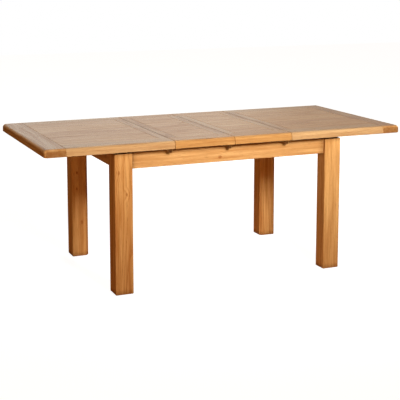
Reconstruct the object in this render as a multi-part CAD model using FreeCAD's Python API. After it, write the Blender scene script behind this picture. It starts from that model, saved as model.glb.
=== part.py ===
import FreeCAD, Part
import math
import os

# Extending dining table in oak, drawn out with both leaves seated.
# Millimetres. Origin on the floor under the middle; +X along the length, +Y to the back, +Z up.

Vector = FreeCAD.Vector
UP = Vector(0, 0, 1)

# Whole table
TABLE_HEIGHT = 776.0
TABLE_WIDTH = 922.0
HALF_LENGTH = 672.0
LEAF_LENGTH = 330.0
JOINT_GAP = 0.6

# Boards of the top
EDGE_THICKNESS = 41.0
FIELD_THICKNESS = 28.0
END_BOARD_WIDTH = 107.0
JOINT_RAIL_WIDTH = 50.0
EDGE_BOARD_WIDTH = 107.0
FIELD_BOARD_COUNT = 5
TOP_ARRIS_RADIUS = 20.0
LOWER_ARRIS_RADIUS = 3.0
CORNER_RADIUS = 22.0
JOINT_EASE = 2.0
BOARD_EASE = 1.5
TONGUE_THICKNESS = 10.0
TONGUE_LENGTH = 14.0
GLUE_LINE = 0.1

# Legs and aprons
TOP_OVERHANG = 29.0
BASE_GAP = 12.0
LEG_WIDTH = 95.0
LEG_ARRIS_RADIUS = 5.0
LEG_FOOT_CHAMFER = 2.0
LEG_CORNER_FLAT = 14.0
APRON_HEIGHT = 81.0
APRON_THICKNESS = 22.0
APRON_INSET = 20.0
APRON_EASE = 2.0
HOUSING_DEPTH = 6.0

# Corner blocks, leg bolts and glides
BLOCK_THICKNESS = 28.0
BLOCK_HEIGHT = 64.0
BLOCK_LEG_GAP = 2.0
BOLT_RADIUS = 4.0
BOLT_SPACING = 32.0
BOLT_DEPTH = 45.0
BOLT_STANDOUT = 3.0
BOLT_CLEARANCE = 0.5
WASHER_RADIUS = 9.0
WASHER_THICKNESS = 1.6
NUT_WIDTH = 13.0
NUT_SIDES = 6
NUT_HEIGHT = 6.5
GLIDE_RADIUS = 14.0
GLIDE_THICKNESS = 3.0
GLIDE_EASE = 1.0
GLIDE_PIN_RADIUS = 2.5
GLIDE_PIN_LENGTH = 14.0

# Bearers, runners and stops
BEARER_INSET = 140.0
BEARER_WIDTH = 34.0
BEARER_HEIGHT = 44.0
GROOVE_HEIGHT = 10.0
GROOVE_DEPTH = 8.0
SLIDE_CLEARANCE = 0.4
RUNNER_WIDTH = 26.0
RUNNER_HEIGHT = 36.0
RUNNER_SETBACK = 20.0
RUNNER_LAP_LENGTH = 270.0
RUNNER_EASE = 1.5
NOTCH_CLEARANCE = 2.0
OVERTRAVEL = 40.0
STOP_LENGTH = 24.0
STOP_HEIGHT = 14.0
CROSS_RAIL_SPACING = 300.0
CROSS_RAIL_THICKNESS = 28.0
CROSS_RAIL_HEIGHT = 42.0

# Catches
CATCH_STANDOFF = 32.0
CATCH_REACH = 24.0
CATCH_PLATE_LENGTH = 42.0
KEEPER_LENGTH = 30.0
PLATE_WIDTH = 24.0
PLATE_THICKNESS = 2.0
PLATE_SETBACK = 2.0
PLATE_CORNER_RADIUS = 4.0
PLATE_SCREW_INSET = 7.0
LEVER_THICKNESS = 2.5
LEVER_WIDTH = 15.0
LEVER_TIP = 8.0
LEVER_TIP_RADIUS = 5.0
LEVER_GAP = 0.4
PIVOT_RADIUS = 2.5
PIVOT_HEAD_RADIUS = 5.0
PIVOT_HEAD_HEIGHT = 1.4
STUD_RADIUS = 2.5
TAB_LENGTH = 22.0
TAB_SETBACK = 10.0
TAB_HEIGHT = 18.0
TAB_THICKNESS = 2.0
TAB_CORNER_RADIUS = 4.0

# Screws
WOOD_SCREW_RADIUS = 2.0
WOOD_SCREW_HEAD_RADIUS = 4.0
WOOD_SCREW_HEAD_HEIGHT = 2.5
WOOD_SCREW_GRIP_LENGTH = 18.0
SCREW_POCKET_DEPTH = 12.0
STOP_POCKET_DEPTH = 4.0
SCREW_POCKET_RADIUS = 4.6
PLATE_SCREW_RADIUS = 1.6
PLATE_SCREW_HEAD_RADIUS = 3.4
PLATE_SCREW_LENGTH = 16.0
SCREW_CLEARANCE = 0.05
RUNNER_SCREW_SHARES = (0.1, 0.5, 0.9)

# Overrun of every cut past the face it opens
OVERRUN = 5.0
# Tolerance for picking edges by position
TOUCH = 0.001

# Levels
half_width = TABLE_WIDTH / 2
half_gap = JOINT_GAP / 2
underside = TABLE_HEIGHT - EDGE_THICKNESS
field_underside = TABLE_HEIGHT - FIELD_THICKNESS
base_top = underside - BASE_GAP
apron_bottom = base_top - APRON_HEIGHT
block_level = apron_bottom + APRON_HEIGHT / 2
bearer_top = underside - SLIDE_CLEARANCE
bearer_bottom = bearer_top - BEARER_HEIGHT
runner_bottom = bearer_top - RUNNER_HEIGHT
rail_bottom = bearer_bottom - CROSS_RAIL_HEIGHT
groove_level = bearer_top - BEARER_HEIGHT / 2
tongue_level = TABLE_HEIGHT - FIELD_THICKNESS / 2
plate_bottom = underside - PLATE_THICKNESS
lever_top = plate_bottom - LEVER_GAP
lever_bottom = lever_top - LEVER_THICKNESS

# Lines in plan
top_end = HALF_LENGTH + LEAF_LENGTH
end_board_line = top_end - END_BOARD_WIDTH
half_joint = LEAF_LENGTH + half_gap
rail_line = half_joint + JOINT_RAIL_WIDTH
field_half_width = half_width - EDGE_BOARD_WIDTH
base_half_length = HALF_LENGTH - TOP_OVERHANG
base_half_width = half_width - TOP_OVERHANG
leg_line_x = base_half_length - LEG_WIDTH
leg_line_y = base_half_width - LEG_WIDTH
apron_end_face = base_half_length - APRON_INSET
apron_end_back = apron_end_face - APRON_THICKNESS
apron_side_face = base_half_width - APRON_INSET
apron_side_back = apron_side_face - APRON_THICKNESS
catch_line = apron_side_face + CATCH_STANDOFF
bearer_line = leg_line_y - BEARER_INSET
bearer_lines = (-bearer_line, bearer_line)
cross_rail_lines = (-CROSS_RAIL_SPACING / 2, CROSS_RAIL_SPACING / 2)
runner_outer_end = -end_board_line + RUNNER_SETBACK
runner_inner_end = -half_joint + RUNNER_LAP_LENGTH

# Bolt sites on the flat of the front left leg, and the way from them to the middle of the table
leg_centre = Vector(-base_half_length + LEG_WIDTH / 2, -base_half_width + LEG_WIDTH / 2, 0)
flat_middle = Vector(-leg_line_x - LEG_CORNER_FLAT / 2, -leg_line_y - LEG_CORNER_FLAT / 2, 0)
bolt_sites = [flat_middle + UP * (block_level + side * BOLT_SPACING / 2) for side in (-1, 1)]
to_middle = Vector(1, 1, 0).normalize()


def block(x_span, y_span, z_span):
    """Plain block between three (low, high) spans."""
    corner = Vector(x_span[0], y_span[0], z_span[0])
    length = x_span[1] - x_span[0]
    width = y_span[1] - y_span[0]
    height = z_span[1] - z_span[0]
    return Part.makeBox(length, width, height, corner)


def rounded_wire(corners):
    """Closed wire through (point, radius) corners, each corner eased by a tangent arc."""
    count = len(corners)
    sides = []
    for i in range(count):
        point, radius = corners[i]
        before = (point - corners[i - 1][0]).normalize()
        after = (corners[(i + 1) % count][0] - point).normalize()
        half_turn = before.getAngle(after) / 2
        setback = radius * math.tan(half_turn)
        inward = (after - before).normalize()
        middle = point + inward * (radius / math.cos(half_turn) - radius)
        sides.append((point - before * setback, middle, point + after * setback, radius))
    edges = []
    for i in range(count):
        start, middle, end, radius = sides[i]
        edges.append(Part.makeLine(sides[i - 1][2], start))
        if radius > 0:
            edges.append(Part.Arc(start, middle, end).toShape())
    return Part.Wire(edges)


def prism(corners, direction):
    """Solid swept from a rounded outline along a direction."""
    return Part.Face(rounded_wire(corners)).extrude(direction)


def plan_plate(x_span, y_span, z_span, radius):
    """Upright plate with rounded corners in plan."""
    places = [
        (x_span[0], y_span[0]),
        (x_span[1], y_span[0]),
        (x_span[1], y_span[1]),
        (x_span[0], y_span[1]),
    ]
    corners = [(Vector(x, y, z_span[0]), radius) for x, y in places]
    return prism(corners, UP * (z_span[1] - z_span[0]))


def lies_on(edge, axis, value):
    """Whether both ends of an edge lie in one plane square to an axis."""
    ends = [getattr(vertex.Point, axis) for vertex in edge.Vertexes]
    return all(abs(end - value) < TOUCH for end in ends)


def edges_on(shape, **planes):
    """Edges of a shape whose ends lie in every given plane, named by its axis."""
    return [edge for edge in shape.Edges if all(lies_on(edge, *plane) for plane in planes.items())]


def mirrored_x(shape):
    """Copy mirrored left to right."""
    return shape.mirror(Vector(0, 0, 0), Vector(1, 0, 0))


def mirrored_y(shape):
    """Copy mirrored front to back."""
    return shape.mirror(Vector(0, 0, 0), Vector(0, 1, 0))


def turned(shape):
    """Copy turned half round about the upright axis."""
    copy = shape.copy()
    copy.rotate(Vector(0, 0, 0), UP, 180)
    return copy


def shifted(shape, x):
    """Copy moved along the table."""
    copy = shape.copy()
    copy.translate(Vector(x, 0, 0))
    return copy


def aimed(shape, point, direction):
    """Copy of a shape built about +Z, set at a point and turned to a direction."""
    copy = shape.copy()
    copy.Placement = FreeCAD.Placement(point, FreeCAD.Rotation(UP, direction))
    return copy


def end_board():
    """Left end board: outer corners rounded in plan, arrises rounded on the three outer sides."""
    corners = [
        (Vector(-top_end, -half_width, underside), CORNER_RADIUS),
        (Vector(-end_board_line, -half_width, underside), 0),
        (Vector(-end_board_line, half_width, underside), 0),
        (Vector(-top_end, half_width, underside), CORNER_RADIUS),
    ]
    board = prism(corners, UP * EDGE_THICKNESS)
    for level, radius in ((TABLE_HEIGHT, TOP_ARRIS_RADIUS), (underside, LOWER_ARRIS_RADIUS)):
        rim = [edge for edge in edges_on(board, z=level) if not lies_on(edge, "x", -end_board_line)]
        board = board.makeFillet(radius, rim)
    return board.makeChamfer(BOARD_EASE, edges_on(board, x=-end_board_line))


def cross_rail_of_top(x_low, x_high, low_ease, high_ease):
    """Crosswise rail between the edge boards of a top panel, eased along both sides."""
    rail = block((x_low, x_high), (-field_half_width, field_half_width), (underside, TABLE_HEIGHT))
    for x, ease in ((x_low, low_ease), (x_high, high_ease)):
        for z in (underside, TABLE_HEIGHT):
            rail = rail.makeChamfer(ease, edges_on(rail, x=x, z=z))
    return rail


def tongue_groove(x_from, x_to):
    """Cutter for the groove that takes the tongues of the field boards."""
    low, high = sorted((x_from, x_to))
    reach = TONGUE_THICKNESS / 2 + GLUE_LINE
    return block(
        (low, high),
        (-field_half_width - GLUE_LINE, field_half_width + GLUE_LINE),
        (tongue_level - reach, tongue_level + reach),
    )


def front_edge_board(x_low, x_high, low_ease, high_ease):
    """Front edge board along the whole of a panel, with the rounded outer arrises and eased ends."""
    corners = [
        (Vector(x_low, -half_width, underside), LOWER_ARRIS_RADIUS),
        (Vector(x_low, -field_half_width, underside), 0),
        (Vector(x_low, -field_half_width, TABLE_HEIGHT), 0),
        (Vector(x_low, -half_width, TABLE_HEIGHT), TOP_ARRIS_RADIUS),
    ]
    board = prism(corners, Vector(x_high - x_low, 0, 0))
    for x, ease in ((x_low, low_ease), (x_high, high_ease)):
        rim = [edge for edge in edges_on(board, x=x) if not lies_on(edge, "y", -field_half_width)]
        board = board.makeChamfer(ease, rim)
    return board


def field_boards(x_low, x_high):
    """Row of lengthwise boards, each with a tongue at both ends."""
    width = 2 * field_half_width / FIELD_BOARD_COUNT
    half_tongue = TONGUE_THICKNESS / 2
    boards = []
    for i in range(FIELD_BOARD_COUNT):
        y_span = (-field_half_width + i * width, -field_half_width + (i + 1) * width)
        board = block((x_low, x_high), y_span, (field_underside, TABLE_HEIGHT))
        for x in (x_low, x_high):
            board = board.makeChamfer(BOARD_EASE, edges_on(board, x=x, z=TABLE_HEIGHT))
        tongue = block(
            (x_low - TONGUE_LENGTH, x_high + TONGUE_LENGTH),
            y_span,
            (tongue_level - half_tongue, tongue_level + half_tongue),
        )
        boards.append(board.fuse(tongue).removeSplitter())
    return boards


def half_boards():
    """Boards of the left half of the top."""
    groove_depth = TONGUE_LENGTH + GLUE_LINE
    rail = cross_rail_of_top(-rail_line, -half_joint, BOARD_EASE, JOINT_EASE)
    front = front_edge_board(-end_board_line, -half_joint, BOARD_EASE, JOINT_EASE)
    return {
        "end_board": [end_board().cut(tongue_groove(-end_board_line, -end_board_line - groove_depth))],
        "joint_rail": [rail.cut(tongue_groove(-rail_line, -rail_line + groove_depth))],
        "front_edge_board": [front],
        "back_edge_board": [mirrored_y(front)],
        "field_boards": field_boards(-end_board_line, -rail_line),
    }


def leaf_boards():
    """Boards of the left leaf."""
    groove_depth = TONGUE_LENGTH + GLUE_LINE
    outer = -LEAF_LENGTH + half_gap
    low = outer + JOINT_RAIL_WIDTH
    high = -half_gap - JOINT_RAIL_WIDTH
    left = cross_rail_of_top(outer, low, JOINT_EASE, BOARD_EASE)
    right = cross_rail_of_top(high, -half_gap, BOARD_EASE, JOINT_EASE)
    front = front_edge_board(outer, -half_gap, JOINT_EASE, JOINT_EASE)
    return {
        "left_rail": [left.cut(tongue_groove(low, low - groove_depth))],
        "right_rail": [right.cut(tongue_groove(high, high + groove_depth))],
        "edge_boards": [front, mirrored_y(front)],
        "field_boards": field_boards(low, high),
    }


def runner_spans(bearer_y):
    """Spans across the table of a left runner, and of the runner with its tongue."""
    bearer_face = bearer_y - BEARER_WIDTH / 2
    inner = bearer_face - SLIDE_CLEARANCE
    outer = inner - RUNNER_WIDTH
    return (outer, inner), (outer, bearer_face + GROOVE_DEPTH - SLIDE_CLEARANCE)


def runner(bearer_y):
    """Left runner: a straight bar with an eased lower edge and a tongue along one side."""
    bar_span, full_span = runner_spans(bearer_y)
    x_span = (runner_outer_end, runner_inner_end)
    bar = block(x_span, bar_span, (runner_bottom, bearer_top))
    bar = bar.makeChamfer(RUNNER_EASE, edges_on(bar, y=bar_span[0], z=runner_bottom))
    half_tongue = GROOVE_HEIGHT / 2 - SLIDE_CLEARANCE
    tongue = block(x_span, full_span, (groove_level - half_tongue, groove_level + half_tongue))
    return bar.fuse(tongue).removeSplitter()


def packing_strip(bearer_y):
    """Strip that fills the height between a left runner and the field boards."""
    bar_span = runner_spans(bearer_y)[0]
    return block((runner_outer_end, -rail_line), bar_span, (bearer_top, field_underside))


def runner_stop(bearer_y):
    """Block under a left runner that meets the end apron when the half is fully drawn out."""
    bar_span = runner_spans(bearer_y)[0]
    face = -apron_end_back + OVERTRAVEL
    return block((face, face + STOP_LENGTH), bar_span, (runner_bottom - STOP_HEIGHT, runner_bottom))


def leg():
    """Front left leg: arrises rounded, inner corner cut flat for the bolts, foot chamfered."""
    corners = [
        (Vector(-base_half_length, -base_half_width, GLIDE_THICKNESS), LEG_ARRIS_RADIUS),
        (Vector(-leg_line_x, -base_half_width, GLIDE_THICKNESS), LEG_ARRIS_RADIUS),
        (Vector(-leg_line_x, -leg_line_y - LEG_CORNER_FLAT, GLIDE_THICKNESS), 0),
        (Vector(-leg_line_x - LEG_CORNER_FLAT, -leg_line_y, GLIDE_THICKNESS), 0),
        (Vector(-base_half_length, -leg_line_y, GLIDE_THICKNESS), LEG_ARRIS_RADIUS),
    ]
    post = prism(corners, UP * (base_top - GLIDE_THICKNESS))
    post = post.makeChamfer(LEG_FOOT_CHAMFER, edges_on(post, z=GLIDE_THICKNESS))
    pin_hole = Part.makeCylinder(
        GLIDE_PIN_RADIUS + GLUE_LINE,
        GLIDE_PIN_LENGTH + GLUE_LINE,
        Vector(leg_centre.x, leg_centre.y, GLIDE_THICKNESS),
    )
    for site in bolt_sites:
        bore = Part.makeCylinder(BOLT_RADIUS + GLUE_LINE, BOLT_DEPTH + GLUE_LINE + OVERRUN)
        post = post.cut(aimed(bore, site + to_middle * OVERRUN, -to_middle))
    return post.cut(pin_hole)


def corner_block():
    """Diagonal block between the front and left aprons, bored for the leg bolts."""
    corner = Vector(-apron_end_back, -apron_side_back, block_level - BLOCK_HEIGHT / 2)
    leg_inset_x = apron_end_back - leg_line_x
    leg_inset_y = apron_side_back - leg_line_y
    near = leg_inset_x + leg_inset_y - LEG_CORNER_FLAT + BLOCK_LEG_GAP * math.sqrt(2)
    far = near + BLOCK_THICKNESS * math.sqrt(2)
    corners = [
        (corner + Vector(near, 0, 0), 0),
        (corner + Vector(far, 0, 0), 0),
        (corner + Vector(0, far, 0), 0),
        (corner + Vector(0, near, 0), 0),
    ]
    bar = prism(corners, UP * BLOCK_HEIGHT)
    for site in bolt_sites:
        bore = Part.makeCylinder(BOLT_RADIUS + BOLT_CLEARANCE, BLOCK_LEG_GAP + BLOCK_THICKNESS + OVERRUN)
        bar = bar.cut(aimed(bore, site, to_middle))
    return bar


def bolt_set(site):
    """Hanger bolt, washer and hex nut at one site of the front left leg."""
    seat = BLOCK_LEG_GAP + BLOCK_THICKNESS
    length = BOLT_DEPTH + seat + WASHER_THICKNESS + NUT_HEIGHT + BOLT_STANDOUT
    bolt = Part.makeCylinder(BOLT_RADIUS, length)
    bore = Part.makeCylinder(BOLT_RADIUS + GLUE_LINE, length)
    washer = Part.makeCylinder(WASHER_RADIUS, WASHER_THICKNESS).cut(bore)
    corner_radius = NUT_WIDTH / 2 / math.cos(math.pi / NUT_SIDES)
    angles = [2 * math.pi * i / NUT_SIDES for i in range(NUT_SIDES)]
    corners = [(Vector(math.cos(a), math.sin(a), 0) * corner_radius, 0) for a in angles]
    nut = prism(corners, UP * NUT_HEIGHT).cut(bore)
    return {
        "leg_bolts": aimed(bolt, site - to_middle * BOLT_DEPTH, to_middle),
        "leg_washers": aimed(washer, site + to_middle * seat, to_middle),
        "leg_nuts": aimed(nut, site + to_middle * (seat + WASHER_THICKNESS), to_middle),
    }


def foot_glide():
    """Round glide under the front left leg, with a pin driven into the leg."""
    disc = Part.makeCylinder(GLIDE_RADIUS, GLIDE_THICKNESS, leg_centre)
    disc = disc.makeChamfer(GLIDE_EASE, edges_on(disc, z=0))
    pin_foot = leg_centre + UP * GLIDE_THICKNESS
    return disc.fuse(Part.makeCylinder(GLIDE_PIN_RADIUS, GLIDE_PIN_LENGTH, pin_foot))


def apron(x_span, y_span):
    """Apron board with all its lower arrises eased."""
    board = block(x_span, y_span, (apron_bottom, base_top))
    return board.makeChamfer(APRON_EASE, edges_on(board, z=apron_bottom))


def front_apron():
    """Front apron, housed on its inner face for the two cross rails."""
    y_span = (-apron_side_face, -apron_side_back)
    board = apron((-leg_line_x, leg_line_x), y_span)
    half = CROSS_RAIL_THICKNESS / 2 + GLUE_LINE
    for x in cross_rail_lines:
        housing = block(
            (x - half, x + half),
            (-apron_side_back - HOUSING_DEPTH - GLUE_LINE, -apron_side_back + OVERRUN),
            (rail_bottom - GLUE_LINE, bearer_bottom + GLUE_LINE),
        )
        board = board.cut(housing)
    return board


def left_apron():
    """Left apron, housed for the bearers and notched from above for the left runners."""
    x_span = (-apron_end_face, -apron_end_back)
    board = apron(x_span, (-leg_line_y, leg_line_y))
    half = BEARER_WIDTH / 2 + GLUE_LINE
    for y in bearer_lines:
        housing = block(
            (-apron_end_back - HOUSING_DEPTH - GLUE_LINE, -apron_end_back + OVERRUN),
            (y - half, y + half),
            (bearer_bottom - GLUE_LINE, base_top + OVERRUN),
        )
        low, high = runner_spans(y)[1]
        notch = block(
            (-apron_end_face - OVERRUN, -apron_end_back + OVERRUN),
            (low - NOTCH_CLEARANCE, high + NOTCH_CLEARANCE),
            (runner_bottom - NOTCH_CLEARANCE, base_top + OVERRUN),
        )
        board = board.cut(housing).cut(notch)
    return board


def bearer(y):
    """Lengthwise bearer with a groove along each side, carrying the halves and the leaves."""
    reach = apron_end_back + HOUSING_DEPTH
    half = BEARER_WIDTH / 2
    bar = block((-reach, reach), (y - half, y + half), (bearer_bottom, bearer_top))
    z_span = (groove_level - GROOVE_HEIGHT / 2, groove_level + GROOVE_HEIGHT / 2)
    x_span = (-reach - OVERRUN, reach + OVERRUN)
    front_groove = block(x_span, (y - half - OVERRUN, y - half + GROOVE_DEPTH), z_span)
    back_groove = block(x_span, (y + half - GROOVE_DEPTH, y + half + OVERRUN), z_span)
    return bar.cut(front_groove).cut(back_groove)


def cross_rail(x):
    """Rail across the base, housed in the long aprons, under both bearers."""
    half = CROSS_RAIL_THICKNESS / 2
    reach = apron_side_back + HOUSING_DEPTH
    return block((x - half, x + half), (-reach, reach), (rail_bottom, bearer_bottom))


def wood_screw(length, fit):
    """Pan-head screw pointing up from the seat of its head; fit widens it into its own hole."""
    head = Part.makeCylinder(
        WOOD_SCREW_HEAD_RADIUS + fit,
        WOOD_SCREW_HEAD_HEIGHT + fit,
        Vector(0, 0, -WOOD_SCREW_HEAD_HEIGHT - fit),
    )
    return head.fuse(Part.makeCylinder(WOOD_SCREW_RADIUS + fit, length + fit))


def plate_screw(fit):
    """Countersunk screw pointing up from the face of its head."""
    head = Part.makeCone(PLATE_SCREW_HEAD_RADIUS + fit, PLATE_SCREW_RADIUS + fit, PLATE_THICKNESS)
    return head.fuse(Part.makeCylinder(PLATE_SCREW_RADIUS + fit, PLATE_SCREW_LENGTH + fit))


def drill(pieces, names, cutter):
    """Cut one hole through every solid of the named pieces that it reaches."""
    for name in names:
        for i, solid in enumerate(pieces[name]):
            if solid.BoundBox.intersect(cutter.BoundBox):
                pieces[name][i] = solid.cut(cutter)


def drive_wood_screw(pieces, names, holder, place, pocket, grip):
    """Set a screw from below in a pocket, cut its hole, and add it to the holder."""
    seat = place + UP * pocket
    pocket_cut = Part.makeCylinder(SCREW_POCKET_RADIUS, pocket + OVERRUN, place - UP * OVERRUN)
    hole = wood_screw(grip, SCREW_CLEARANCE)
    hole.translate(seat)
    body = wood_screw(grip, 0)
    body.translate(seat)
    drill(pieces, names, pocket_cut.fuse(hole))
    pieces[holder].append(body)


def drive_plate_screw(pieces, names, holder, place):
    """Set a countersunk screw flush in a plate, cut its hole, and add it to the holder."""
    hole = plate_screw(SCREW_CLEARANCE)
    hole.translate(place)
    body = plate_screw(0)
    body.translate(place)
    drill(pieces, names, hole)
    pieces[holder].append(body)


def catch_plate(joint):
    """Plate left of a joint, with the headed pivot pin of the catch lever."""
    edge = joint - half_gap - PLATE_SETBACK
    plate = plan_plate(
        (edge - CATCH_PLATE_LENGTH, edge),
        (-catch_line - PLATE_WIDTH / 2, -catch_line + PLATE_WIDTH / 2),
        (plate_bottom, underside),
        PLATE_CORNER_RADIUS,
    )
    pin_height = LEVER_GAP + LEVER_THICKNESS + LEVER_GAP
    pin_foot = Vector(pivot_x(joint), -catch_line, plate_bottom - pin_height)
    pin = Part.makeCylinder(PIVOT_RADIUS, pin_height, pin_foot)
    head = Part.makeCylinder(PIVOT_HEAD_RADIUS, PIVOT_HEAD_HEIGHT, pin_foot - UP * PIVOT_HEAD_HEIGHT)
    return plate.fuse([pin, head])


def pivot_x(joint):
    """Place of a catch pivot along the table."""
    return joint - CATCH_REACH / 2


def keeper(joint):
    """Plate right of a joint, with the stud that the lever hooks."""
    edge = joint + half_gap + PLATE_SETBACK
    plate = plan_plate(
        (edge, edge + KEEPER_LENGTH),
        (-catch_line - PLATE_WIDTH / 2, -catch_line + PLATE_WIDTH / 2),
        (plate_bottom, underside),
        PLATE_CORNER_RADIUS,
    )
    stud_foot = Vector(joint + CATCH_REACH / 2, -catch_line, lever_bottom)
    return plate.fuse(Part.makeCylinder(STUD_RADIUS, plate_bottom - lever_bottom, stud_foot))


def catch_lever(joint):
    """Swivelling lever in its open place, folded back from the joint, with a hanging finger tab."""
    half = LEVER_WIDTH / 2
    tip = CATCH_REACH + LEVER_TIP
    corners = [
        (Vector(0, -half, lever_bottom), 0),
        (Vector(tip, -half, lever_bottom), 0),
        (Vector(tip, half, lever_bottom), LEVER_TIP_RADIUS),
        (Vector(0, half, lever_bottom), 0),
    ]
    arm = prism(corners, UP * LEVER_THICKNESS)
    boss = Part.makeCylinder(half, LEVER_THICKNESS, Vector(0, 0, lever_bottom))
    tab_foot = lever_bottom - TAB_HEIGHT
    tab_tip = tip - TAB_SETBACK
    tab_corners = [
        (Vector(tab_tip - TAB_LENGTH, -half, lever_top), 0),
        (Vector(tab_tip - TAB_LENGTH, -half, tab_foot), TAB_CORNER_RADIUS),
        (Vector(tab_tip, -half, tab_foot), TAB_CORNER_RADIUS),
        (Vector(tab_tip, -half, lever_top), 0),
    ]
    tab = prism(tab_corners, Vector(0, TAB_THICKNESS, 0))
    arm = arm.fuse([boss, tab]).removeSplitter()
    tall = LEVER_THICKNESS + 2 * OVERRUN
    foot = Vector(0, 0, lever_bottom - OVERRUN)
    slot_half = STUD_RADIUS + LEVER_GAP
    arm = arm.cut(Part.makeCylinder(PIVOT_RADIUS + LEVER_GAP, tall, foot))
    arm = arm.cut(Part.makeCylinder(slot_half, tall, foot + Vector(CATCH_REACH, 0, 0)))
    ring = Part.makeCylinder(CATCH_REACH + slot_half, tall, foot, UP, 90)
    arm = arm.cut(ring.cut(Part.makeCylinder(CATCH_REACH - slot_half, tall, foot)))
    arm.rotate(Vector(0, 0, 0), UP, 180)
    arm.translate(Vector(pivot_x(joint), -catch_line, 0))
    return arm


def add_base(pieces):
    """All pieces of the fixed base."""
    corner_copies = {
        "front_left": lambda shape: shape,
        "front_right": mirrored_x,
        "back_left": mirrored_y,
        "back_right": turned,
    }
    groups = ("corner_blocks", "leg_bolts", "leg_washers", "leg_nuts", "foot_glides", "base_screws")
    for name in groups:
        pieces[name] = []
    for place, copy in corner_copies.items():
        pieces[place + "_leg"] = [copy(leg())]
        pieces["corner_blocks"].append(copy(corner_block()))
        pieces["foot_glides"].append(copy(foot_glide()))
        for site in bolt_sites:
            for name, shape in bolt_set(site).items():
                pieces[name].append(copy(shape))
    pieces["front_apron"] = [front_apron()]
    pieces["back_apron"] = [mirrored_y(front_apron())]
    pieces["left_apron"] = [left_apron()]
    pieces["right_apron"] = [turned(left_apron())]
    pieces["front_bearer"] = [bearer(bearer_lines[0])]
    pieces["back_bearer"] = [bearer(bearer_lines[1])]
    pieces["left_cross_rail"] = [cross_rail(cross_rail_lines[0])]
    pieces["right_cross_rail"] = [cross_rail(cross_rail_lines[1])]
    held = ("front_bearer", "back_bearer", "left_cross_rail", "right_cross_rail")
    grip = CROSS_RAIL_HEIGHT - SCREW_POCKET_DEPTH + WOOD_SCREW_GRIP_LENGTH
    for x in cross_rail_lines:
        for y in bearer_lines:
            place = Vector(x, y, rail_bottom)
            drive_wood_screw(pieces, held, "base_screws", place, SCREW_POCKET_DEPTH, grip)


def add_half(pieces, side, copy):
    """Boards, runners, packing strips, stops and screws of one half of the top."""
    half = half_boards()
    half["runners"] = [runner(y) for y in bearer_lines]
    half["packing_strips"] = [packing_strip(y) for y in bearer_lines]
    half["runner_stops"] = [runner_stop(y) for y in bearer_lines]
    half["top_screws"] = []
    packing = field_underside - bearer_top
    grip = RUNNER_HEIGHT - SCREW_POCKET_DEPTH + packing + WOOD_SCREW_GRIP_LENGTH
    held = ("runners", "packing_strips", "field_boards")
    for y in bearer_lines:
        low, high = runner_spans(y)[0]
        middle = (low + high) / 2
        for share in RUNNER_SCREW_SHARES:
            x = runner_outer_end + share * (-rail_line - runner_outer_end)
            place = Vector(x, middle, runner_bottom)
            drive_wood_screw(half, held, "top_screws", place, SCREW_POCKET_DEPTH, grip)
        stop = runner_stop(y).BoundBox
        place = Vector(stop.Center.x, middle, stop.ZMin)
        stop_grip = STOP_HEIGHT - STOP_POCKET_DEPTH + WOOD_SCREW_GRIP_LENGTH
        stop_held = ("runner_stops", "runners")
        drive_wood_screw(half, stop_held, "top_screws", place, STOP_POCKET_DEPTH, stop_grip)
    for name, shapes in half.items():
        pieces[side + "_" + name] = [copy(shape) for shape in shapes]


def add_leaf(pieces, leaf, shift):
    """Boards of one leaf."""
    for name, shapes in leaf_boards().items():
        pieces[leaf + "_" + name] = [shifted(shape, shift) for shape in shapes]
    pieces[leaf + "_top_screws"] = []


def add_catches(pieces, joint, joint_name, left, right):
    """Catch plate, lever and keeper at both ends of one joint; each side is a panel and its edge boards."""
    plates = left[0] + "_catch_plates"
    keepers = right[0] + "_keepers"
    pieces[plates] = [catch_plate(joint), mirrored_y(catch_plate(joint))]
    pieces[keepers] = [keeper(joint), mirrored_y(keeper(joint))]
    plate_end = joint - half_gap - PLATE_SETBACK - CATCH_PLATE_LENGTH + PLATE_SCREW_INSET
    keeper_end = joint + half_gap + PLATE_SETBACK + KEEPER_LENGTH - PLATE_SCREW_INSET
    spread = PLATE_WIDTH / 2 - PLATE_SCREW_INSET
    for panel, plate, x in ((left, plates, plate_end), (right, keepers, keeper_end)):
        held = [plate] + [panel[0] + "_" + board for board in panel[1]]
        for y in (-catch_line - spread, -catch_line + spread, catch_line - spread, catch_line + spread):
            drive_plate_screw(pieces, held, panel[0] + "_top_screws", Vector(x, y, plate_bottom))
    pieces[joint_name + "_front_lever"] = [catch_lever(joint)]
    pieces[joint_name + "_back_lever"] = [mirrored_y(catch_lever(joint))]


def all_pieces():
    """Every piece of the table, by name."""
    pieces = {}
    add_base(pieces)
    add_half(pieces, "left", lambda shape: shape)
    add_half(pieces, "right", turned)
    add_leaf(pieces, "leaf_1", 0)
    add_leaf(pieces, "leaf_2", LEAF_LENGTH)
    left = ("left", ("front_edge_board", "back_edge_board"))
    right = ("right", ("front_edge_board", "back_edge_board"))
    leaf_1 = ("leaf_1", ("edge_boards",))
    leaf_2 = ("leaf_2", ("edge_boards",))
    add_catches(pieces, -LEAF_LENGTH, "left_joint", left, leaf_1)
    add_catches(pieces, 0, "mid_joint", leaf_1, leaf_2)
    add_catches(pieces, LEAF_LENGTH, "right_joint", leaf_2, right)
    return pieces


os.makedirs("parts", exist_ok=True)
for name, shapes in all_pieces().items():
    solids = [solid for shape in shapes for solid in shape.Solids]
    Part.makeCompound(solids).exportStep("parts/" + name + ".step")
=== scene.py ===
import math

import bmesh
import bpy
from mathutils import Matrix, Vector


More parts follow.
